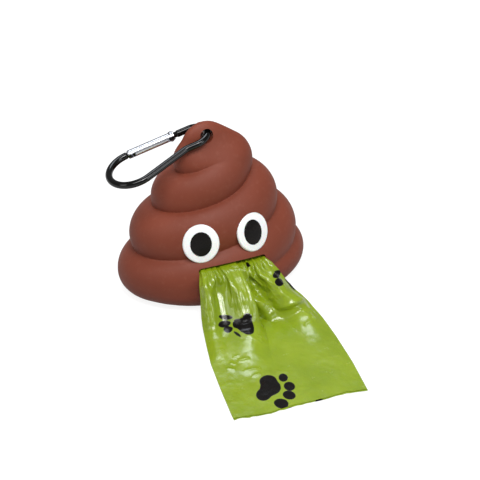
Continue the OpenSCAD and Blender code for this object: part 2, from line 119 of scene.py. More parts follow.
WIRE_DIAMETER = 3.2
NARROW_RADIUS = 6.8
NECK_LENGTH = 4.0
KINK_RADIUS = 5.0
SPINE_ANGLE = 22.0
SPINE_LENGTH = 21.0
GATE_DIAMETER = 4.0
RING_HOLE_DIAMETER = 6.1
RING_HOLE = (TIP[0] + 0.5, 0.0, TIP[1] + 5.4)
RING_TURN = -7.5
RING_SLOPE = 16.0


# ---- Mesh helpers ----
def add(name, data):
    """A new object in the scene."""
    made = bpy.data.objects.new(name, data)
    bpy.context.scene.collection.objects.link(made)
    return made


def mesh(name, points, faces, material):
    """A new smooth object from points in millimetres."""
    data = bpy.data.meshes.new(name)
    data.from_pydata([tuple(p) for p in np.asarray(points, float) * MM], [], faces)
    data.update()
    if material:
        data.materials.append(material)
    data.polygons.foreach_set("use_smooth", [True] * len(faces))
    return add(name, data)


def grid_faces(rows, columns):
    """Faces of a grid of points, row after row, whose last column meets its first."""
    places = ((r * columns, c, (c + 1) % columns) for r in range(rows - 1) for c in range(columns))
    return [(r + a, r + b, r + columns + b, r + columns + a) for r, a, b in places]


def skin(name, rings, low, high, material):
    """A closed skin through rings of points, which run anticlockwise seen from the high end."""
    count, sides = len(rings), len(rings[0])
    points = np.concatenate([np.asarray(rings).reshape(-1, 3), [low, high]])
    faces = grid_faces(count, sides)
    last = (count - 1) * sides
    faces += [(count * sides, (i + 1) % sides, i) for i in range(sides)]
    faces += [(count * sides + 1, last + i, last + (i + 1) % sides) for i in range(sides)]
    return mesh(name, points, faces, material)


def apply_modifiers(obj):
    """Makes the modifiers' result the object's own mesh."""
    depsgraph = bpy.context.evaluated_depsgraph_get()
    data = bpy.data.meshes.new_from_object(obj.evaluated_get(depsgraph))
    obj.modifiers.clear()
    obj.data = data


def combine(obj, operation, *tools):
    """Joins the tools' solids to obj (UNION) or cuts them away (DIFFERENCE), and deletes the tools."""
    for tool in tools:
        modifier = obj.modifiers.new("combine", "BOOLEAN")
        modifier.operation = operation
        modifier.solver = "MANIFOLD"
        modifier.object = tool
    apply_modifiers(obj)
    for tool in tools:
        bpy.data.objects.remove(tool)


def soften(obj, width, angle):
    """Rounds the edges sharper than angle."""
    modifier = obj.modifiers.new("soften", "BEVEL")
    modifier.width = width * MM
    modifier.segments = 2
    modifier.limit_method = "ANGLE"
    modifier.angle_limit = math.radians(angle)
    apply_modifiers(obj)


def sharpen(obj, angle):
    """Smooth shading, except over edges sharper than angle."""
    obj.data.polygons.foreach_set("use_smooth", [True] * len(obj.data.polygons))
    obj.data.set_sharp_from_angle(angle=math.radians(angle))


def stadium_outline(length, width, middle_steps=0):
    """Points round a bar with round ends, anticlockwise, centred on the origin."""
    half = (length - width) / 2
    right = [(half + width / 2 * math.cos(a), width / 2 * math.sin(a))
             for a in np.linspace(-math.pi / 2, math.pi / 2, 16)]
    right += [(x, width / 2) for x in np.linspace(half, -half, middle_steps + 2)[1:-1]]
    return right + [(-x, -y) for x, y in right]


def unit(vectors):
    """The same directions with length one."""
    return vectors / np.maximum(np.linalg.norm(vectors, axis=-1, keepdims=True), 1e-9)


def full_turn(steps):
    return np.linspace(0, 2 * math.pi, steps, endpoint=False)


def oval_outline(width, height):
    return [(math.cos(a) * width / 2, math.sin(a) * height / 2) for a in full_turn(48)]


def prism(outline, low, high, centre=(0, 0)):
    """A closed prism along Z, to cut or join with."""
    rings = [[(x, y, z) for x, y in outline] for z in (low, high)]
    return skin("tool", rings, (*centre, low), (*centre, high), None)


def box(low, high):
    (x0, y0, z0), (x1, y1, z1) = low, high
    return prism([(x0, y0), (x1, y0), (x1, y1), (x0, y1)], z0, z1, ((x0 + x1) / 2, (y0 + y1) / 2))


def only_material(obj, material):
    """Leaves one material where combining has added empty slots."""
    obj.data.materials.clear()
    obj.data.materials.append(material)


# ---- The swirl's surface ----
def ease(t):
    """A smooth step from 0 to 1."""
    t = np.clip(t, 0, 1)
    return t * t * (3 - 2 * t)


def coil_at(t):
    """Reach, height and section radius of the coil, t turns along it."""
    u = np.maximum(t, 0)
    lean = COIL_LEAN * np.cos(2 * np.pi * t)
    reach = FIRST_TURN_RADIUS - DRAW_IN * u - DRAW_IN_GROWTH * u * u - lean + START_DRAW_IN * np.minimum(t, 0)
    rise = COIL_START_HEIGHT + COIL_PITCH * t + COIL_TILT * np.cos(2 * np.pi * t)
    section = COIL_RADIUS - COIL_THINNING * (t - FATTEST_TURN) ** 2
    return reach, np.maximum(COIL_FLOOR_HEIGHT, rise), section


def middle(z):
    """Sideways place of the body's middle line at height z."""
    return -TIP_LEAN * ease((z - LEAN_START) / LEAN_LENGTH)


def depth_at(z):
    """The share of a reach that is left front to back at height z."""
    undercut = BASE_UNDERCUT * (1 - ease(z / UNDERCUT_HEIGHT))
    return DEPTH_SHARE - undercut - TIP_PINCH * ease((z - PINCH_START) / PINCH_LENGTH)


def turn_reach(f, z, n):
    """Reach of the coil alone, where its turn n passes azimuth part f and height z."""
    t = n + f
    u = np.clip(t, FIRST_TURN, LAST_TURN)
    reach, height, section = coil_at(u)
    a = section * (1 - ease(np.abs(t - u) / END_FADE))
    s = np.sqrt(np.maximum(a * a - (z - height) ** 2, 0))
    opened = ease(s / TURN_OPENING)
    r = (reach - a) * opened + s - middle(z) * np.cos(2 * np.pi * f) * opened
    return np.where((a > 0.5) & (s > 0), r, 0)


def ball_reach(f, z, ball):
    """Reach of a ball, given as sideways place, height and radius."""
    x, height, radius = ball
    q = radius * radius - (z - height) ** 2
    c = x - middle(z)
    b = c * np.cos(2 * np.pi * f)
    d = b * b - c * c + q
    return np.where((q > 0) & (d > 0), np.maximum(0, b + np.sqrt(np.maximum(d, 0))), 0)


def core_reach(f, z):
    """Reach of the cone that fills the coil's middle."""
    return STANDING_RADIUS * (1 - np.clip(z / TIP[1], 0, 1) ** CORE_TAPER) + 0 * f


def reach(f, z):
    """Reach of the body at azimuth part f (of a turn) and height z, before the depth is taken in."""
    f, z = np.broadcast_arrays(np.asarray(f, float), np.asarray(z, float))
    reaches = [turn_reach(f, z, n) for n in range(-1, 4)]
    reaches += [core_reach(f, z), ball_reach(f, z, LOBE)]
    shoulder, tip = np.array(SHOULDER), np.array(TIP)
    reaches += [ball_reach(f, z, shoulder + k * (tip - shoulder)) for k in (0, 0.25, 0.5, 0.75, 1)]
    reaches = np.array(reaches)
    top = reaches.max(0)
    return top + CREASE_BLEND * np.log(np.exp((reaches - top) / CREASE_BLEND).sum(0))


def at(f, z, r):
    """The point at azimuth part f, height z and reach r."""
    angle = 2 * np.pi * f
    return np.stack([middle(z) + r * np.cos(angle), depth_at(z) * r * np.sin(angle), z + 0 * r], -1)


def surface_point(azimuth, z):
    f = azimuth / 360
    return at(f, np.float64(z), reach(f, z))


def hollow_reach(f, z):
    """Reach of the hollow: a wall's thickness inside the body, closing to a dome at the top."""
    nearest = np.minimum(np.minimum(reach(f, z - WALL), reach(f, z)), reach(f, z + WALL))
    dome = 1 - (np.maximum(0, z - DOME_START) / (HOLLOW_TOP - DOME_START)) ** 2
    return np.maximum(0.4, (nearest - WALL / DEPTH_SHARE) * np.sqrt(np.maximum(0, dome)))


FRONT_Y = float(surface_point(-90, FILM_HEIGHT)[1])


# ---- Places ----
def eye_frame(side):
    """Moves an eye that faces -Y from the origin to its seat."""
    steps = ((-EYE_SPREAD, 0), (EYE_SPREAD, 0), (0, -EYE_RISE), (0, EYE_RISE))
    p = [surface_point(EYE_AZIMUTHS[side] - 90 + a, EYE_HEIGHT + z) for a, z in steps]
    v = unit(np.cross(p[1] - p[0], p[3] - p[2]))
    turn = Matrix.Rotation(math.atan2(v[0], -v[1]), 4, "Z") @ Matrix.Rotation(-math.asin(v[2]), 4, "X")
    return Matrix.Translation(Vector(sum(p) / 4 * MM)) @ turn


def ring_frame():
    """Moves the carabiner from its own plane to its place in the tip's hole."""
    turn = Matrix.Rotation(math.radians(RING_TURN), 4, "Z") @ Matrix.Rotation(
        math.radians(180 - RING_SLOPE), 4, "Y")
    return Matrix.Translation(Vector(RING_HOLE) * MM) @ turn


def carabiner_frame():
    """The ring's frame, moved so that its bent wire runs through the middle of the hole."""
    tip_depth = TIP_FULLNESS * depth_at(RING_HOLE[2]) * math.sqrt(TIP[2] ** 2 - (RING_HOLE[2] - TIP[1]) ** 2)
    sag = (NARROW_RADIUS - math.sqrt(NARROW_RADIUS ** 2 - tip_depth ** 2)) / 2
    return ring_frame() @ Matrix.Translation((-sag * MM, 0, 0))


FORWARD = Matrix.Rotation(math.radians(90), 4, "X")  # turns what runs along Z to run along -Y


def placed(obj, matrix):
    """Puts obj in its place, and keeps its own axes for its material."""
    obj.matrix_world = matrix
    bpy.context.view_layer.update()
    return obj


# ---- Materials ----
class Finish:
    """A node-based material on a Principled shader, with helpers for its patterns."""

    def __init__(self, name, **sockets):
        self.material = bpy.data.materials.new(name)
        self.material.use_nodes = True
        self.tree = self.material.node_tree
        self.shader = self.tree.nodes["Principled BSDF"]
        for socket, value in sockets.items():
            self.shader.inputs[socket.replace("_", " ")].default_value = value
        self.coords = self.node("ShaderNodeTexCoord").outputs["Object"]

    def node(self, kind, *sources, **values):
        """A new node, with sources linked to its first inputs."""
        made = self.tree.nodes.new(kind)
        for key, value in values.items():
            if key in made.inputs:
                made.inputs[key].default_value = value
            else:
                setattr(made, key, value)
        for source, target in zip(sources, made.inputs):
            self.link(source, target)
        return made

    def link(self, source, target):
        self.tree.links.new(source, target)

    def noise(self, scale, detail=3.0, roughness=0.5, distortion=0.0, stretch=None):
        """Noise in the object's own space. Scale is in features per metre."""
        source = self.coords
        if stretch:
            source = self.node("ShaderNodeMapping", source, Scale=stretch).outputs["Vector"]
        made = self.node("ShaderNodeTexNoise", source, Scale=scale, Detail=detail, Roughness=roughness,
                         Distortion=distortion)
        return made.outputs["Fac"]

    def ramp(self, source, low, high, a=0.35, b=0.65):
        """Maps a pattern to colours, low at a and high at b."""
        made = self.node("ShaderNodeValToRGB", source)
        ends = made.color_ramp.elements
        ends[0].position, ends[0].color = a, low
        ends[1].position, ends[1].color = b, high
        return made.outputs["Color"]

    def range(self, source, low, high, a=0.3, b=0.7):
        """Maps a pattern to numbers, low at a and high at b."""
        values = {"From Min": a, "From Max": b, "To Min": low, "To Max": high}
        return self.node("ShaderNodeMapRange", source, **values).outputs["Result"]

    def mix(self, factor, pattern, colour):
        """The pattern where the factor is 0, and the colour where it is 1."""
        made = self.node("ShaderNodeMix", data_type="RGBA")
        self.link(factor, made.inputs[0])
        self.link(pattern, made.inputs[6])
        made.inputs[7].default_value = colour
        return made.outputs[2]

    def larger(self, a, b):
        return self.node("ShaderNodeMath", a, b, operation="MAXIMUM").outputs[0]

    def bump(self, source, distance, strength, after=None):
        """Bump whose full height is distance, in metres."""
        made = self.node("ShaderNodeBump", Strength=strength, Distance=distance)
        self.link(source, made.inputs["Height"])
        if after:
            self.link(after, made.inputs["Normal"])
        self.link(made.outputs["Normal"], self.shader.inputs["Normal"])
        return made.outputs["Normal"]

    def crinkled(self):
        """The fine and the wide crinkles of thin film."""
        fine = self.bump(self.noise(420, detail=4, roughness=0.6), 0.00012, 0.5)
        self.bump(self.noise(110, distortion=0.8), 0.0004, 0.5, after=fine)

    def colour(self, source):
        self.link(source, self.shader.inputs["Base Color"])

    def roughness(self, pattern, low, high):
        self.link(self.range(pattern, low, high), self.shader.inputs["Roughness"])


def srgb(*channels):
    """A colour given as it looks on a screen, 0 to 255."""
    shares = (c / 255 for c in channels)
    return (*(c / 12.92 if c <= 0.04045 else ((c + 0.055) / 1.055) ** 2.4 for c in shares), 1.0)


def soft_vinyl():
    """Matt soft vinyl: a fine powdery grain, faint clouds of colour and a broad sheen."""
    f = Finish("soft_vinyl", Roughness=0.6, Specular_IOR_Level=0.32, Subsurface_Weight=0.06,
               Subsurface_Scale=0.002, Subsurface_Radius=(1.0, 0.35, 0.25))
    clouds = f.ramp(f.noise(28, detail=4), srgb(116, 54, 36), srgb(124, 59, 40))
    specks = f.range(f.noise(420, detail=2), 0.0, 0.12, a=0.55, b=0.75)
    f.colour(f.mix(specks, clouds, srgb(150, 92, 76)))
    f.roughness(f.noise(90), 0.56, 0.64)
    grain = f.bump(f.noise(1900, detail=2), 0.00002, 0.35)
    f.bump(f.noise(45, detail=2), 0.0002, 0.25, after=grain)
    return f.material


def rigid_brown():
    f = Finish("rigid_brown", Roughness=0.42)
    f.colour(f.ramp(f.noise(60), srgb(88, 48, 38), srgb(98, 54, 43)))
    f.bump(f.noise(1400, detail=2), 0.00002, 0.5)
    return f.material


def eye_white():
    f = Finish("eye_white", Roughness=0.28, Specular_IOR_Level=0.3, Subsurface_Weight=0.1,
               Subsurface_Scale=0.0015)
    f.colour(f.ramp(f.noise(160), srgb(248, 249, 250), srgb(253, 253, 252)))
    f.roughness(f.noise(300), 0.24, 0.34)
    f.bump(f.noise(260, detail=2), 0.00004, 0.4)
    return f.material


def eye_black():
    f = Finish("eye_black", Roughness=0.25, Specular_IOR_Level=0.15)
    f.colour(f.ramp(f.noise(420, detail=4), srgb(12, 10, 9), srgb(20, 17, 15)))
    f.roughness(f.noise(500), 0.18, 0.38)
    f.bump(f.noise(700), 0.00005, 0.5)
    return f.material


def black_wire():
    f = Finish("black_wire", Roughness=0.1, Specular_IOR_Level=0.36)
    f.colour(f.ramp(f.noise(500), srgb(4, 4, 4), srgb(9, 8, 8)))
    f.roughness(f.noise(350, detail=4), 0.07, 0.13)
    f.bump(f.noise(900, detail=2), 0.00002, 0.4)
    return f.material


def metal(name, low, high, rough, stretch):
    """Polished metal with fine drawn lines along its length."""
    f = Finish(name, Metallic=1.0, Roughness=rough)
    lines = f.noise(1.0, stretch=stretch)
    f.colour(f.ramp(lines, low, high))
    f.roughness(lines, rough * 0.8, rough * 1.25)
    f.bump(lines, 0.000004, 0.2)
    return f.material


def core_card():
    f = Finish("core_card", Roughness=0.8)
    f.colour(f.ramp(f.noise(900, detail=4, stretch=(0.2, 1, 1)), srgb(20, 19, 18), srgb(38, 36, 34)))
    f.bump(f.noise(1500), 0.00004, 0.6)
    return f.material


def film(name, paws):
    """Thin glossy green film with black paw prints. A print is where the attribute 'paws' is high."""
    f = Finish(name, Roughness=0.2, Specular_IOR_Level=0.6, Coat_Weight=0.2, Coat_Roughness=0.34,
               Subsurface_Weight=0.18, Subsurface_Scale=0.002, Subsurface_Radius=(0.6, 1.0, 0.2))
    green = f.ramp(f.noise(55, detail=4), srgb(121, 143, 14), srgb(133, 154, 22))
    if paws:
        print_edge = f.node("ShaderNodeAttribute", attribute_name="paws").outputs["Fac"]
        ink = f.range(print_edge, 0.0, 1.0, a=0.46, b=0.54)
        f.colour(f.mix(ink, green, srgb(10, 8, 6)))
    else:
        f.colour(green)
    f.crinkled()
    f.roughness(f.noise(240), 0.16, 0.28)
    return f.material


def paw_ink():
    f = Finish("paw_ink", Roughness=0.2, Specular_IOR_Level=0.25)
    f.colour(f.ramp(f.noise(300), srgb(7, 5, 4), srgb(14, 11, 9)))
    f.crinkled()
    return f.material


vinyl = soft_vinyl()
rigid = rigid_brown()
white = eye_white()
black = eye_black()
wire = black_wire()
silver = metal("silver_gate", srgb(206, 207, 213), srgb(228, 229, 235), 0.3, (30, 700, 700))
steel = metal("steel", srgb(160, 162, 168), srgb(190, 192, 198), 0.25, (500, 500, 500))
card = core_card()
green_film = film("green_film", paws=False)
printed_film = film("printed_film", paws=True)
ink = paw_ink()


# ---- The soft body ----
def swirl_body():
    """The swirl's outer skin and its hollow, with the mouth, the tip's hole, the base and the seats cut."""
    sides, slices, crown, crown_height = 288, 250, 36, 8.0
    heights = np.concatenate([
        np.linspace(0, BODY_TOP - crown_height, slices),
        BODY_TOP - crown_height * (1 - np.sin(np.radians(89) * np.arange(1, crown + 1) / crown))])
    f = np.arange(sides) / sides
    rings = at(f[None], heights[:, None], reach(f[None], heights[:, None]))
    body = skin("swirl_body", rings, (0, 0, 0), (TIP[0], 0, BODY_TOP), vinyl)

    f = np.arange(96) / 96
    t = np.linspace(0, 1, 48)
    heights = FLOOR_THICKNESS + (HOLLOW_TOP - 0.4 - FLOOR_THICKNESS) * (1 - (1 - t) ** 1.3)
    rings = at(f[None], heights[:, None], hollow_reach(f[None], heights[:, None]))
    hollow = skin("hollow", rings, (0, 0, FLOOR_THICKNESS), (middle(HOLLOW_TOP), 0, HOLLOW_TOP), None)

    outline = [(x, y - MOUTH_ARCH * (2 * x / MOUTH_WIDTH) ** 2) for x, y in stadium_outline(
        MOUTH_WIDTH, MOUTH_HEIGHT, middle_steps=14)]
    mouth = prism(outline, 0, MOUTH_CUT)
    mouth.data.transform(FORWARD)
    place = Vector((MOUTH_OFFSET, FRONT_Y + MOUTH_CUT / 2, FILM_HEIGHT)) * MM
    mouth.data.transform(Matrix.Translation(place))

    seat_length, seat_width = (side + 2 * COLLAR_WALL for side in OPENING)
    base = prism(stadium_outline(seat_length, seat_width), -1, 4)
    flanged = stadium_outline(seat_length + 2 * COLLAR_FLANGE, seat_width + 2 * COLLAR_FLANGE)
    pocket = prism(flanged, FLOOR_THICKNESS, COLLAR_HEIGHT)

    hole = prism(oval_outline(RING_HOLE_DIAMETER, RING_HOLE_DIAMETER), -20, 20)
    hole.data.transform(FORWARD)
    placed(hole, ring_frame())

    seats = []
    for side in EYE_AZIMUTHS:
        seat = prism(oval_outline(*(size - 2 * EYE_OVERLAP for size in EYE_SIZE)), 0, 8)
        seat.data.transform(FORWARD)
        seats.append(placed(seat, eye_frame(side)))
    combine(body, "DIFFERENCE", hollow, mouth, base, pocket, hole, *seats)
    sharpen(body, 42)
    only_material(body, vinyl)
    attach(body, "shell")
    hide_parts("body_shell")


# ---- Eyes ----
def oval_button(name, size, section, material):
    """An oval disc facing -Y. The section lists (share of the radius, height over the seat)."""
    angles = full_turn(96)
    x, z = size[0] / 2 * np.cos(angles), size[1] / 2 * np.sin(angles)
    rings = [np.stack([u * x, -h + 0 * angles, u * z], -1) for u, h in section]
    return skin(name, rings, (0, -section[0][1], 0), (0, -section[-1][1], 0), material)


def rounded_section(rim, corner, bulge, back, size):
    """Straight sides from back, a round corner at the rim and a gently bulging face."""
    r, chamfer = size / 2, 0.4
    sides = [(1 - chamfer / r, back), (1, back + chamfer), (1, rim - corner)]
    corners = [(1 - corner * (1 - math.cos(a)) / r, rim - corner + corner * math.sin(a))
               for a in np.linspace(0, math.pi / 2, 10)[1:]]
    edge = corners[-1][0]
    face = [(edge * (1 - t), rim + bulge * (1 - (1 - t) ** 2)) for t in np.linspace(0, 1, 12)[1:-1]]
    return sides + corners + face + [(0.02, rim + bulge)]


def eyes():
    """Each eye is a white button on its seat with a black one let into it."""
    for side in EYE_AZIMUTHS:
        seat = eye_frame(side)
        section = rounded_section(EYE_PROUD, 0.95, EYE_BULGE, -EYE_SUNK, EYE_SIZE[0])
        eye = placed(oval_button("eye_white_disc_" + side, EYE_SIZE, section, white), seat)
        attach(eye, "shell")
        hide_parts("eye_white_" + side)
        face = EYE_PROUD + EYE_BULGE
        section = rounded_section(face + PUPIL_RIM, 0.5, PUPIL_PROUD - PUPIL_RIM, face - PUPIL_DEPTH,
                                  PUPIL_SIZE[0])
        pupil = oval_button("pupil_disc_" + side, PUPIL_SIZE, section, black)
        x, z = PUPIL_OFFSETS[side]
        placed(pupil, seat @ Matrix.Translation((x * MM, 0, z * MM)))
        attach(pupil, "shell")
        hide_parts("pupil_" + side)


# ---- Carabiner ----
def arc(about, radius, start, sweep, steps):
    """Points of an arc, with angles in degrees."""
    return [(about[0] + radius * math.cos(a), about[1] + radius * math.sin(a))
            for a in np.radians(start + sweep * np.linspace(0, 1, steps))]


def wire_line():
    """The wire's middle line: narrow bend, neck, kink, spine, wide bend. And the middle of the wide bend."""
    s, c = math.sin(math.radians(SPINE_ANGLE)), math.cos(math.radians(SPINE_ANGLE))
    kink = np.array([NARROW_RADIUS + NECK_LENGTH, -NARROW_RADIUS - KINK_RADIUS])
    start = kink + KINK_RADIUS * np.array([s, c])
    end = start + SPINE_LENGTH * np.array([c, -s])
    wide = (NARROW_RADIUS - end[1]) / (1 + c)
    centre = end + wide * np.array([s, c])
    neck = [(NARROW_RADIUS + x, -NARROW_RADIUS) for x in np.linspace(0, NECK_LENGTH, 6)[1:-1]]
    spine = [tuple(start + (end - start) * t) for t in np.linspace(0, 1, 20)[1:-1]]
    line = arc((NARROW_RADIUS, 0), NARROW_RADIUS, 90, 180, 56) + neck
    line += arc(kink, KINK_RADIUS, 90, -SPINE_ANGLE, 8) + spine
    line += arc(centre, wide, -90 - SPINE_ANGLE, 180 + SPINE_ANGLE, 64)
    return line, centre[0]


# Places along the gate's line, and sizes of its details
HINGE_X = NARROW_RADIUS + 8.4
WIRE_STUB_END = HINGE_X - 2.6
GATE_BACK = HINGE_X - 1.6
CATCH_BACK = 2.2  # from the middle of the wide bend back to the catch pin
TONGUE_THICKNESS = 1.4
SLOT_WIDTH = 1.7
CATCH_NOTCH = 0.65  # radius of the notch round the catch pin


def wire_rod(line):
    """The round wire, from its stub at the hinge round to its nose."""
    stub = [(x, NARROW_RADIUS) for x in np.linspace(WIRE_STUB_END, NARROW_RADIUS, 8, endpoint=False)]
    path = np.array(stub + line)
    heading = unit(np.gradient(path, axis=0))
    angles = full_turn(28)

    def ring(i, radius, shift=0.0):
        x, y = path[i] + heading[i] * shift
        across = radius * np.cos(angles)
        return np.stack([x - across * heading[i][1], y + across * heading[i][0], radius * np.sin(angles)], -1)

    r, edge = WIRE_DIAMETER / 2, 0.3
    last = len(path) - 1
    rings = [ring(0, r - edge), ring(0, r, edge)]
    rings += [ring(i, r) for i in range(1, last)]
    rings += [ring(last, r, -edge), ring(last, r - edge)]
    body = skin("carabiner_rod", rings, (*path[0], 0), (*path[last], 0), wire)
    placed(body, carabiner_frame())
    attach(body, "carabiner")
    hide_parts("carabiner_wire")


def tongue(name, outline):
    """A flat tongue at an end of the wire."""
    count = len(outline)
    points = [(x, y + NARROW_RADIUS, z) for z in (-TONGUE_THICKNESS / 2, TONGUE_THICKNESS / 2)
              for x, y in outline]
    faces = grid_faces(2, count) + [tuple(range(count))[::-1], tuple(range(count, 2 * count))]
    made = mesh(name, points, faces, wire)
    sharpen(made, 40)
    placed(made, carabiner_frame())
    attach(made, "carabiner")


def tongues(catch_x, nose_x):
    """One with a round end on the hinge, and one with a notch round the catch pin."""
    back, half = WIRE_STUB_END - 0.4, 1.25
    tongue("hinge_tongue", [(back, half), (back, -half)] + arc((HINGE_X, 0), half, -90, 180, 14))
    low, high, half = catch_x - 1.4, nose_x + 0.4, 1.3
    notch_low, notch_high = catch_x - CATCH_NOTCH, catch_x + CATCH_NOTCH
    notch = arc((catch_x, 0), CATCH_NOTCH, 180, -180, 9)[1:]
    tongue("catch_tongue", [(low, half), (low, -half), (notch_low, -half), (notch_low, 0)] + notch
           + [(notch_high, -half), (high, -half), (high, half)])


def gate_sleeve(catch_x, nose_x):
    """The gate: a tube with chamfered ends and a slot through each for the tongues."""
    front_x = nose_x - 0.3
    r = GATE_DIAMETER / 2
    steps = [(GATE_BACK, r - 0.45), (GATE_BACK + 0.12, r - 0.18), (GATE_BACK + 0.4, r)]
    steps += [(x, r) for x in np.linspace(GATE_BACK + 1, front_x - 1, 12)]
    steps += [(front_x - 0.4, r), (front_x - 0.12, r - 0.18), (front_x, r - 0.45)]
    angles = full_turn(48)
    rings = [np.stack([x + 0 * angles, NARROW_RADIUS + q * np.cos(angles), q * np.sin(angles)], -1)
             for x, q in steps]
    gate = skin("gate_sleeve", rings, (GATE_BACK, NARROW_RADIUS, 0), (front_x, NARROW_RADIUS, 0), silver)

    slots = [box((low_x, NARROW_RADIUS - 4, -SLOT_WIDTH / 2), (high_x, NARROW_RADIUS + 4, SLOT_WIDTH / 2))
             for low_x, high_x in ((GATE_BACK - 1, HINGE_X + 1.9), (catch_x - 1.8, front_x + 1))]
    combine(gate, "DIFFERENCE", *slots)
    only_material(gate, silver)
    sharpen(gate, 35)
    placed(gate, carabiner_frame())
    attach(gate, "gate")
    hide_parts("gate_tube")


def hinge_rivet():
    """A shank with two domed heads."""
    half = GATE_DIAMETER / 2 + 0.45
    steps = [(0.35, -half), (0.8, -half + 0.1), (1.0, -half + 0.3), (1.0, -half + 0.4), (0.6, -half + 0.42)]
    steps += [(q, -z) for q, z in reversed(steps)]
    angles = full_turn(32)
    rings = [np.stack([HINGE_X + q * np.cos(angles), NARROW_RADIUS + q * np.sin(angles), z + 0 * angles], -1)
             for q, z in steps]
    rivet = skin("rivet", rings, (HINGE_X, NARROW_RADIUS, -half), (HINGE_X, NARROW_RADIUS, half), steel)
    sharpen(rivet, 50)
    placed(rivet, carabiner_frame())
    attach(rivet, "carabiner")
    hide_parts("gate_rivet")


def carabiner():
    """Every piece is made in the carabiner's own plane, with its gate along X, and then placed."""
    line, nose_x = wire_line()
    catch_x = nose_x - CATCH_BACK
    wire_rod(line)
    tongues(catch_x, nose_x)
    gate_sleeve(catch_x, nose_x)
    hinge_rivet()


# ---- The bag ----
# Rows across the film, from inside the shell to the hem: its left edge, its right edge, and how far
# its middle stands forward of and above the line between them
BAG_ROWS = np.array([
    (-16.7, 6.0, 21.9, 13.9, 6.0, 21.9, 0.0, 0.6),
    (-16.7, -20.0, 21.6, 13.9, -21.0, 21.6, -1.0, 0.6),
    (-16.8, -24.8, 21.2, 14.1, -26.3, 21.4, -1.6, 0.8),
    (-17.2, -27.0, 20.9, 14.9, -28.6, 21.1, -2.0, 0.9),
    (-18.1, -29.2, 19.8, 16.4, -30.8, 19.7, -2.4, 0.8),
    (-19.2, -31.3, 17.5, 18.3, -32.9, 16.6, -2.7, 0.4),
    (-20.0, -34.0, 13.8, 20.1, -36.0, 13.0, -2.6, 0.2),
    (-21.2, -37.2, 9.7, 22.6, -39.4, 9.3, -2.6, 0.2),
    (-22.1, -39.7, 6.3, 25.7, -42.1, 5.7, -2.6, 0.3),
    (-22.9, -42.8, 2.7, 27.9, -44.3, 3.1, -2.6, 0.4),
    (-23.4, -45.6, 1.1, 29.3, -47.8, 1.0, -2.2, 0.3),
    (-24.6, -50.2, 0.3, 30.0, -53.0, 0.4, -1.2, 0.1),
    (-28.6, -65.0, 0.3, 29.6, -68.5, 0.3, 0.0, 0.0),
    (-32.2, -85.0, 0.3, 28.0, -90.0, 0.3, 0.0, 0.0),
    (-35.4, -105.4, 0.3, 25.3, -111.0, 0.3, 0.0, 0.0)])
MOUTH_ROW = 3
COLUMNS, STEP, STEP_INSIDE = 340, 0.4, 1.6  # of the film's grid
LAYER_GAP = 0.25  # between the film's two layers
LOWEST = 0.06  # of the lower layer over the table

# Places on the flat film are across it from its left edge, and out from the mouth.
# Domes and hollows: place, half widths across and out, and height
DOMES = ((18, 38, 10, 14, 1.5), (42.5, 12.5, 4.5, 5.5, -2.4), (12, 56, 9, 8, 0.6))

# Creases: from, to, height and width
CREASES = (
    (36.5, 26, 44, 22.9, 1.0, 1.5), (43, 23, 62.5, 23.3, 0.8, 1.6), (36, 21.5, 48, 15.6, 0.7, 0.9),
    (38, 23, 49.7, 15, 0.6, 0.8), (36, 9, 45.4, 11, 0.6, 0.9), (36, 17, 45, 12, 0.6, 0.8),
    (51.3, 4, 50, 9, 0.5, 0.8), (51, 9.8, 53, 14.5, 0.5, 0.9), (56, 31, 57, 36.5, 0.45, 0.8),
    (50, 38, 55.5, 36, 0.4, 0.8), (53, 29.5, 55.5, 34, 0.5, 0.8), (47, 24, 54.5, 27.5, 0.4, 0.9),
    (57, 27, 60, 33, 0.35, 0.8), (10.5, 47.4, 14.5, 47.4, 0.4, 0.7), (12, 50.7, 18.5, 51.5, 0.6, 1.0),
    (5.5, 53.5, 10, 56.7, 0.45, 1.0), (13, 58.5, 21.5, 59.1, 0.55, 1.0),
    (15.5, 63, 20.6, 62.4, 0.35, 0.8), (8, 50, 11, 53, 0.3, 0.8), (29, 73.3, 31.6, 77.3, 0.25, 0.6),
    (27, 62, 33, 66, 0.25, 0.9), (19.5, 7.5, 16, 18.5, 0.45, 0.9), (21.6, 8, 19.7, 20, 0.45, 0.8),
    (23, 11, 22.5, 18, 0.35, 0.7), (6.5, 7, 3.8, 18, 0.4, 0.9), (13, 3, 13, 7.5, 0.35, 0.7),
    (16, 5, 13, 11, 0.35, 0.8), (20, 36.9, 26, 44, 0.3, 1.2), (1.5, 13, 2, 21, 0.3, 0.9))

# Paw prints, as ovals: place, half width, half length and turn. A pad's ovals run together
PADS = (
    ((22.6, 25.0, 2.0, 2.6, -2), (22.0, 33.8, 2.4, 4.0, 4), (17.6, 27.3, 2.6, 3.4, -12),
     (20.6, 29.0, 3.6, 5.0, -12), (21.0, 31.5, 3.0, 4.6, 0)),
    ((21.8, 68.6, 3.9, 4.2, 17), (22.9, 73.6, 3.3, 5.0, 11), (17.3, 77.2, 3.4, 4.4, 17),
     (20.8, 73.6, 4.0, 5.7, 14)))
TOES = (
    (12.4, 22.1, 3.5, 1.1, 14), (10.9, 25.1, 3.4, 1.7, -2), (12.3, 28.8, 2.6, 2.1, 35),
    (16.3, 34.4, 0.7, 3.2, -23), (29.0, 68.4, 2.1, 2.9, 11), (29.9, 75.2, 2.5, 3.3, 3),
    (28.0, 81.2, 2.7, 3.4, -13), (23.0, 85.5, 3.0, 3.4, -31), (58.3, 8.7, 4.1, 1.4, -12),
    (55.1, 12.4, 2.6, 1.8, -29), (62.2, 14.5, 1.3, 3.6, 10), (44.7, 0.4, 1.3, 1.6, -16))
HEM_SPOTS = ((39.5, 88.8, 2.0, 1.6, 0), (26.0, 89.5, 2.4, 1.5, 0))


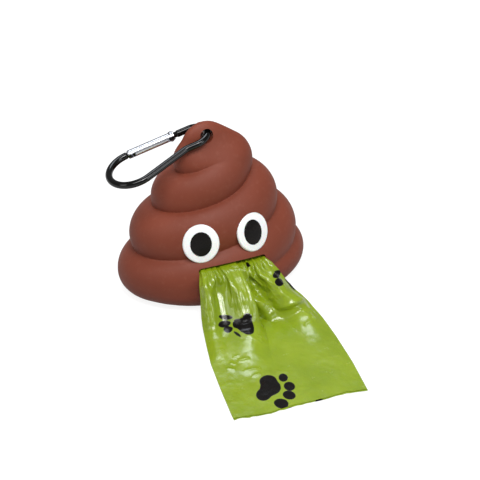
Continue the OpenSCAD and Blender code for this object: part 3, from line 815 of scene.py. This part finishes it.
def profile(out, places, values, spread=2.0):
    """A value that changes along the film, with its corners rounded, as a column."""
    offsets = np.linspace(-2, 2, 9)
    weights = np.exp(-offsets ** 2)
    total = sum(w * np.interp(out + o * spread, places, values) for o, w in zip(offsets, weights))
    return (total / weights.sum())[:, None]


def smooth_rows():
    """The film's rows with their bends rounded, and how far each is out from the mouth."""
    centre = (BAG_ROWS[:, :3] + BAG_ROWS[:, 3:6]) / 2
    centre[:, 1:] += BAG_ROWS[:, 6:]
    along = np.concatenate([[0], np.cumsum(np.linalg.norm(np.diff(centre, axis=0), axis=1))])
    fine = np.arange(0, along[-1], 0.1)
    half = 30  # steps of the kernel to each side
    kernel = np.exp(-(np.arange(-half, half + 1) / 14) ** 2)
    kernel /= kernel.sum()
    outside = along[MOUTH_ROW] - 4
    v = np.concatenate([np.arange(0, outside, STEP_INSIDE), np.arange(outside, fine[-1], STEP)])
    columns = []
    for values in BAG_ROWS.T:
        dense = np.interp(fine, along, values)
        before, after = 2 * dense[0] - dense[half:0:-1], 2 * dense[-1] - dense[-2:-half - 2:-1]
        padded = np.concatenate([before, dense, after])
        columns.append(np.interp(v, fine, np.convolve(padded, kernel, "valid")))
    return np.stack(columns, -1), v - along[MOUTH_ROW]


def lattice_noise(x, y, seed):
    """Smooth noise from -1 to 1, with features about one unit wide."""
    x, y = np.broadcast_arrays(x, y)
    values = np.random.default_rng(seed).uniform(-1, 1, (128, 128))
    i, j = np.floor(x).astype(int), np.floor(y).astype(int)
    u, w = ease(x - i), ease(y - j)
    a, b, c, d = (values[(i + p) % 128, (j + q) % 128] for p, q in ((0, 0), (1, 0), (0, 1), (1, 1)))
    return (a * (1 - u) + b * u) * (1 - w) + (c * (1 - u) + d * u) * w


def facets(x, y, seed):
    """Flat facets about one unit across that meet in sharp ridges."""
    x, y = np.broadcast_arrays(x, y)
    jitter = np.random.default_rng(seed).uniform(0, 1, (64, 64, 2))
    i, j = np.floor(x).astype(int), np.floor(y).astype(int)
    nearest = np.full(x.shape, 9.0)
    for p in (-1, 0, 1):
        for q in (-1, 0, 1):
            point = jitter[(i + p) % 64, (j + q) % 64]
            nearest = np.minimum(nearest, np.hypot(i + p + point[..., 0] - x, j + q + point[..., 1] - y))
    return np.sqrt(nearest ** 2 + 0.01)


def from_segment(s, out, start, end):
    """Distance from a segment, and how near a point is to its middle, from 0 to 1."""
    span = end - start
    t = ((s - start[0]) * span[0] + (out - start[1]) * span[1]) / (span @ span)
    held = np.clip(t, 0, 1)
    distance = np.hypot(s - start[0] - held * span[0], out - start[1] - held * span[1])
    return distance, 1 - np.clip(np.abs(t - 0.5) * 2, 0, 1) ** 3


def relief(s, out):
    """How far the film stands off its smooth shape: low domes, creases, crumpled facets and fine pleats."""
    high = sum(height * np.exp(-((s - across) / wide) ** 2 - ((out - along) / long) ** 2)
               for across, along, wide, long, height in DOMES)
    ridge = ease((s - 36) / 6) * (1 - 0.6 * ease((s - 57) / 5))
    high += 1.1 * ridge * np.exp(-((out - 23) / 4.5) ** 2)
    for *ends, height, width in CREASES:
        distance, near = from_segment(s, out, np.array(ends[:2]), np.array(ends[2:]))
        high += height * near * np.exp(-distance / width)
    open_air = ease(out / 3)
    right = ease((s - 33) / 4) * open_air * (1 - ease((out - 16) / 10))
    high += (1.4 - 0.7 * ease((s - 45) / 5)) * right * facets(s / 5.5, out / 4.5, 5)
    left = ease((30 - s) / 4) * open_air * (1 - ease((out - 14) / 10))
    high += 0.2 * left * facets(s / 4.0, out / 8.0, 6)
    high += 0.3 * ease((out - 26) / 6) * facets((s + 0.4 * out) / 13, (out - 0.3 * s) / 11, 8)
    fine = open_air * (1 - ease((out - 15) / 9))
    high += 0.1 * fine * lattice_noise(s / 0.75, out / 9, 11)
    streaks = ease(out / 5) * (1 - ease((out - 18) / 8)) * np.exp(-((s - 19) / 7) ** 2)
    high += 0.22 * streaks * lattice_noise(s / 1.3, out / 16, 13)
    return high + 0.05 * open_air * lattice_noise(s / 2.2, out / 2.6, 12)


def film_surface():
    """Points of the film's upper layer, row by row, with their places across and along the flat film."""
    rows, out = smooth_rows()
    left, right, bow = rows[:, :3], rows[:, 3:6], rows[:, 6:]
    width = np.linalg.norm(right - left, axis=1)
    s = np.linspace(0, BAG_WIDTH, COLUMNS)[None]
    ds = s[0, 1]

    # Headings across the film, in radians: one long fold, pleats that fade below the mouth, and wider
    # waves. Each bend of the fold is tight wide, it turns by steep, and lapped is how much lies between
    tight = profile(out, [-40, 0, 4, 12, 20, 30, 45], [0.9, 0.9, 1.5, 1.8, 2.6, 6.0, 9.0])
    steep = profile(out, [-40, 2, 14, 20, 25, 32, 48, 60], [3.05, 3.0, 2.75, 2.3, 1.5, 0.55, 0.22, 0.05])
    lapped = profile(out, [-40, 2, 14, 22, 28], [5.5, 5.0, 3.6, 1.2, 0.0])
    start = profile(out, [-40, 0, 8, 16, 24, 40, 60], [29.5, 29.5, 30, 30.5, 31, 30, 27]) - tight - lapped / 2
    end = start + 2 * tight + lapped
    fold = -steep * (ease((s - start) / tight) - ease((s - end + tight) / tight))
    clear = lapped + 1.5
    beside = 1 - ease((s - start + clear) / 2) * (1 - ease((s - end - clear) / 2))
    wavelength = 5.6 + 1.3 * np.sin(s * 0.37 + 1.0) + 0.9 * np.sin(s * 0.83 + 0.4)
    fade = 7.5 + 4.0 * lattice_noise(s / 6, 0, 3)
    pleats = 1.5 * np.exp(-(np.maximum(out[:, None], 0) / fade) ** 1.3) * np.sin(
        np.cumsum(2 * np.pi * ds / wavelength, 1) + 0.02 * out[:, None])
    wide = profile(out, [-5, 4, 12, 22, 40, 60, 75], [0, 0.2, 0.8, 0.75, 0.45, 0.25, 0.1])
    waves = wide * np.sin(2 * np.pi * s / 15.5 + 0.8 + 0.9 * np.sin(s * 0.19))
    ripple = beside * (pleats + waves)
    # Each row's ripple is just strong enough for the row to be as wide as BAG_ROWS says
    low, high = np.zeros(len(out)), np.full(len(out), 2.6)
    for _ in range(20):
        size = (low + high) / 2
        spare = np.cos(fold + size[:, None] * ripple).mean(1) * BAG_WIDTH > width
        low, high = np.where(spare, size, low), np.where(spare, high, size)
    most = profile(out, [15, 24, 34, 50, 80], [2.6, 1.0, 0.6, 0.35, 0.2])
    heading = fold + np.minimum(high[:, None], most) * ripple
    heading = (heading[:, 1:] + heading[:, :-1]) / 2
    x = np.pad(np.cumsum(np.cos(heading) * ds, 1), ((0, 0), (1, 0)))
    h = np.pad(np.cumsum(np.sin(heading) * ds, 1), ((0, 0), (1, 0)))
    h -= h[:, -1:] * s / BAG_WIDTH
    h -= (h.max(1) + h.min(1))[:, None] / 2 * profile(out, [0, 5], [1, 0])
    # The left panel stands over a valley along the fold, and both bridge the bend onto the table
    over = 1 - ease((s - start) / (end - start))
    panel = 0.45 * over * np.exp(-np.maximum(start - s, 0) / 7)
    valley = (1 - over) * np.exp(-np.maximum(s - end, 0) / 3.0)
    h += profile(out, [0, 4, 10, 16, 24, 32, 42, 56], [0, 1.2, 3.2, 4.0, 3.4, 2.2, 1.0, 0]) * (panel - valley)
    bridge = np.sin(np.pi * np.clip(s / (start + 1), 0, 1)) + 0.8 * np.sin(
        np.pi * np.clip((s - end) / (BAG_WIDTH - end), 0, 1))
    h += profile(out, [1, 8, 15, 21, 27, 36, 50], [0, 0.4, 1.3, 1.8, 1.8, 1.1, 0]) * bridge
    pinch = profile(out, [0, 2, 4, 7, 12], [0.6, 1.0, 2.0, 5.0, 12.0], 0.7)
    h = pinch * np.tanh(h / pinch)

    q = x / x[:, -1:]
    run = np.gradient((left + right) / 2 + np.pad(bow, ((0, 0), (1, 0))), out, axis=0)
    normal = unit(np.cross(run, right - left))
    points = left[:, None] + (right - left)[:, None] * q[..., None] + normal[:, None] * h[..., None]
    points[..., 1:] += bow[:, None] * (4 * q * (1 - q))[..., None]
    points += surface_normals(points) * relief(s, out[:, None])[..., None]
    # The hem wanders, and the film lies on the table without going through it
    last = ease((out - out[-1] + 4) / 4)[:, None]
    wander = 1.7 * np.exp(-((s - 14) / 9) ** 2) - 0.9 * np.exp(-((s - 52) / 7) ** 2)
    points[..., 1] -= last * (wander + 0.25 * lattice_noise(s / 2.1, 0, 4))
    rest = LAYER_GAP + 0.12
    above = points[..., 2] - rest
    points[..., 2] = rest + (above + np.sqrt(above ** 2 + 0.1)) / 2 - 0.05 * last
    return points, s, out


def surface_normals(points):
    """Unit normals of a grid of points."""
    return unit(np.cross(np.gradient(points, axis=0), np.gradient(points, axis=1)))


def inside_oval(s, out, oval):
    """How far inside an oval a place on the film is, below 0 outside it."""
    x, y, across, along, turn = oval
    c, d = math.cos(math.radians(turn)), math.sin(math.radians(turn))
    a, b = (s - x) * c + (out - y) * d, (out - y) * c - (s - x) * d
    return (1 - np.hypot(a / across, b / along)) * min(across, along)


def print_field(s, out, pads, toes):
    """Above 0.5 inside the prints. It falls off evenly across their edges."""
    field = np.full(np.broadcast_shapes(s.shape, out.shape), -5.0)
    for pad in pads:
        spots = sum(np.exp(inside_oval(s, out, oval) / 0.4) for oval in pad)
        field = np.maximum(field, 0.4 * np.log(np.maximum(spots, 1e-9)))
    for oval in toes:
        field = np.maximum(field, inside_oval(s, out, oval))
    return np.clip(0.5 + field / 2, 0, 1)


def bag():
    """The bag in use: a flat tube of film with two layers, open at the hem."""
    points, s, out = film_surface()
    lower = points - LAYER_GAP * surface_normals(points)
    last = ease((out - out[-1] + 3) / 3)[:, None]
    lower[..., 1] -= last * (0.8 + 0.35 * lattice_noise(s / 3.3, 0, 9))
    lower[..., 2] = np.maximum(lower[..., 2], LOWEST)
    ring = np.concatenate([points, lower[:, ::-1]], 1)
    made = mesh("bag_film", ring.reshape(-1, 3), grid_faces(len(out), ring.shape[1]), printed_film)
    upper = print_field(s, out[:, None], PADS, TOES)
    under = print_field(s, out[:, None], (), HEM_SPOTS)[:, ::-1]
    paws = made.data.attributes.new("paws", "FLOAT", "POINT")
    printed = np.concatenate([upper, under], 1)
    paws.data.foreach_set("value", printed.ravel().astype(np.float32))
    beside = np.minimum(printed, np.roll(printed, -1, 1))
    inked = np.minimum(beside[:-1], beside[1:]) > 0.56
    made.data.materials.append(ink)
    made.data.polygons.foreach_set("material_index", inked.ravel().astype(np.int32))
    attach(made, "pulled_bag")
    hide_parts("bag")


# ---- The base ----
def loft(name, section, closed, material):
    """A skin through bars with round ends. The section lists (size past the base opening, height).

    Where it is closed its end meets its start, as in a ring.
    """
    rings = [[(x, y, z) for x, y in stadium_outline(OPENING[0] + 2 * past, OPENING[1] + 2 * past)]
             for past, z in section]
    if not closed:
        return skin(name, rings, (0, 0, section[0][1]), (0, 0, section[-1][1]), material)
    count, sides = len(rings), len(rings[0])
    faces = [tuple(i % (count * sides) for i in face) for face in grid_faces(count + 1, sides)]
    return mesh(name, np.reshape(rings, (-1, 3)), faces, material)


def collar():
    """The ring bonded into the soft floor, with a flange that the floor's pocket holds."""
    wall, top, edge = COLLAR_WALL, COLLAR_HEIGHT, 0.25
    wide = wall + COLLAR_FLANGE
    section = [(0, edge), (edge, 0), (wall - 0.3, 0), (wall, 0.3), (wall, FLOOR_THICKNESS),
               (wide, FLOOR_THICKNESS), (wide, top - edge), (wide - edge, top), (edge, top), (0, top - edge)]
    made = loft("collar_ring", section, True, rigid)
    sharpen(made, 50)
    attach(made, "shell")
    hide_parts("base_collar")


def plug():
    """The plug: a plate with a skirt, and a recess with a lip for a fingernail."""
    rim, top, edge = -PLUG_CLEARANCE, COLLAR_HEIGHT - PLUG_SKIRT_DROP, 0.35
    inner, plate = rim - PLUG_SKIRT_WALL, PLUG_THICKNESS
    section = [(rim - edge, 0), (rim - 0.1, 0.1), (rim, edge), (rim, top - 0.2), (rim - 0.2, top),
               (inner + 0.2, top), (inner, top - 0.2), (inner, plate + 0.3), (inner - 0.3, plate)]
    made = loft("plug_cover", section, False, rigid)
    length, width, depth = NAIL_RECESS
    half, lip = length / 2, 1.4
    back = OPENING[1] / 2 + inner - 0.3
    cover = box((-half - 1, back - width - 1, 0.5), (half + 1, back + 1, depth + 1))
    combine(made, "UNION", cover)
    combine(made, "DIFFERENCE", box((-half, back - width, 1), (half, back, depth)),
            box((-half, back - width, -1), (half, back - lip, 1.5)))
    soften(made, 0.12, angle=50)
    only_material(made, rigid)
    sharpen(made, 50)
    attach(made, "plug")
    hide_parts("base_plug")


# ---- The roll ----
def roll():
    """The film still on its core: one spiral of flattened bags, loose enough for its layers to show."""
    inner, outer, turns, columns = CORE_DIAMETER / 2 + 0.1, ROLL_DIAMETER / 2 - 0.1, 7, 26
    room, half_thick = 0.12, 0.09
    t = np.linspace(0, 1, turns * 40 + 1)[:, None]
    x = np.linspace(-1, 1, columns)[None]
    angle = math.pi / 2 + 2 * math.pi * turns * (t - 1)
    loose = 0.05 * lattice_noise(8 * t * turns, 6 * x, 21)
    wander = 0.35 * lattice_noise(6 * t * turns, 0 * x, 22)
    layers = []
    for side in (half_thick, -half_thick):
        r = inner + room + (outer - inner - 2 * room) * t + loose + side
        y, z = r * np.cos(angle), ROLL_HEIGHT + r * np.sin(angle)
        layers.append(np.stack([(BAG_WIDTH / 2 - 0.9) * x + wander, y, z], -1))
    ring = np.concatenate([layers[0], layers[1][:, ::-1]], 1)
    made = mesh("film_roll", ring.reshape(-1, 3), grid_faces(len(t), ring.shape[1]), green_film)
    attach(made, "roll")
    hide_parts("bag_roll")


def dress(node, material):
    """Gives a CAD node that stays in view its finish."""
    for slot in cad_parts[node].material_slots:
        slot.material = material


swirl_body()
collar()
plug()
eyes()
roll()
bag()
carabiner()
dress("roll_core", card)
for node in ("gate_catch_pin", "gate_spring", "gate_plunger"):
    dress(node, steel)


# ---- Camera and light ----
# Direction, roll, lens and shift were fitted to the photo
AZIMUTH, ELEVATION, ROLL = (math.radians(a) for a in (21.804, 34.689, 2.106))
CAMERA_DISTANCE = 1.5
LENS = 247.5
SHIFT = (0.0567, 0.0666)
WORLD_STRENGTH = 0.26
FLOOR_REACH = 12000.0
FLOOR_HEIGHT = -0.05  # just under the base, so that the two never share a plane
FLOOR_SEEN = 0.88  # its brightness to the camera
FLOOR_MIRRORED = 0.62  # and in glossy reflections


def camera():
    """Looks at the base's middle, moved by the shift."""
    sa, ca, se, ce = math.sin(AZIMUTH), math.cos(AZIMUTH), math.sin(ELEVATION), math.cos(ELEVATION)
    forward = Vector((sa * ce, ca * ce, -se))
    right, up = Vector((ca, -sa, 0)), Vector((sa * se, ca * se, ce))
    x = right * math.cos(ROLL) - up * math.sin(ROLL)
    y = right * math.sin(ROLL) + up * math.cos(ROLL)
    place = Matrix((x, y, -forward)).transposed().to_4x4()
    place.translation = -forward * CAMERA_DISTANCE
    data = bpy.data.cameras.new("camera")
    data.lens = LENS
    data.shift_x, data.shift_y = SHIFT
    bpy.context.scene.camera = add("camera", data)
    bpy.context.scene.camera.matrix_world = place


def lamp(name, place, size, power, colour=(1, 1, 1)):
    """A soft box that faces the object. Its size is its width and height."""
    data = bpy.data.lights.new(name, "AREA")
    data.shape, data.energy, data.color = "ELLIPSE", power, colour
    data.size, data.size_y = size
    made = add(name, data)
    made.location = place
    made.rotation_euler = Vector(place).to_track_quat("Z", "Y").to_euler()


def lights():
    lamp("key", (-0.15, -0.45, 0.9), (1.0, 0.34), 7.5)
    lamp("glint", (-0.1, -0.62, 0.95), (0.2, 0.2), 2.0)
    lamp("top", (0.1, 0.42, 0.92), (0.6, 0.45), 4.2, (0.86, 0.92, 1))
    lamp("left", (-0.9, -0.1, 0.5), (0.4, 0.4), 1.3)
    lamp("right", (0.45, -0.85, 0.45), (0.4, 0.4), 2.0, (0.92, 0.96, 1))
    world = bpy.data.worlds.new("world")
    world.use_nodes = True
    inputs = world.node_tree.nodes["Background"].inputs
    inputs["Color"].default_value = (1, 1, 1, 1)
    inputs["Strength"].default_value = WORLD_STRENGTH
    bpy.context.scene.world = world


def floor():
    """White with a soft shadow to the camera, greyer in reflections, and dark as a source of light."""
    corners = [(x * FLOOR_REACH, y * FLOOR_REACH, FLOOR_HEIGHT)
               for x, y in ((-1, -1), (1, -1), (1, 1), (-1, 1))]
    f = Finish("floor", Roughness=0.9, Base_Color=(0.2, 0.2, 0.2, 1))
    path = f.node("ShaderNodeLightPath").outputs
    shown = f.larger(path["Is Camera Ray"], path["Is Glossy Ray"])
    shown = f.larger(shown, path["Is Transmission Ray"])
    glow = f.node("ShaderNodeEmission", Color=(1, 1, 1, 1))
    f.link(f.range(path["Is Glossy Ray"], FLOOR_SEEN, FLOOR_MIRRORED, a=0, b=1), glow.inputs["Strength"])
    matt = f.shader.outputs[0]
    added = f.node("ShaderNodeAddShader", matt, glow.outputs[0])
    seen = f.node("ShaderNodeMixShader", shown, matt, added.outputs[0])
    f.link(seen.outputs[0], f.tree.nodes["Material Output"].inputs["Surface"])
    made = mesh("floor", corners, [(0, 1, 2, 3)], f.material)


camera()
lights()
floor()
bpy.context.scene.view_settings.view_transform = "Standard"
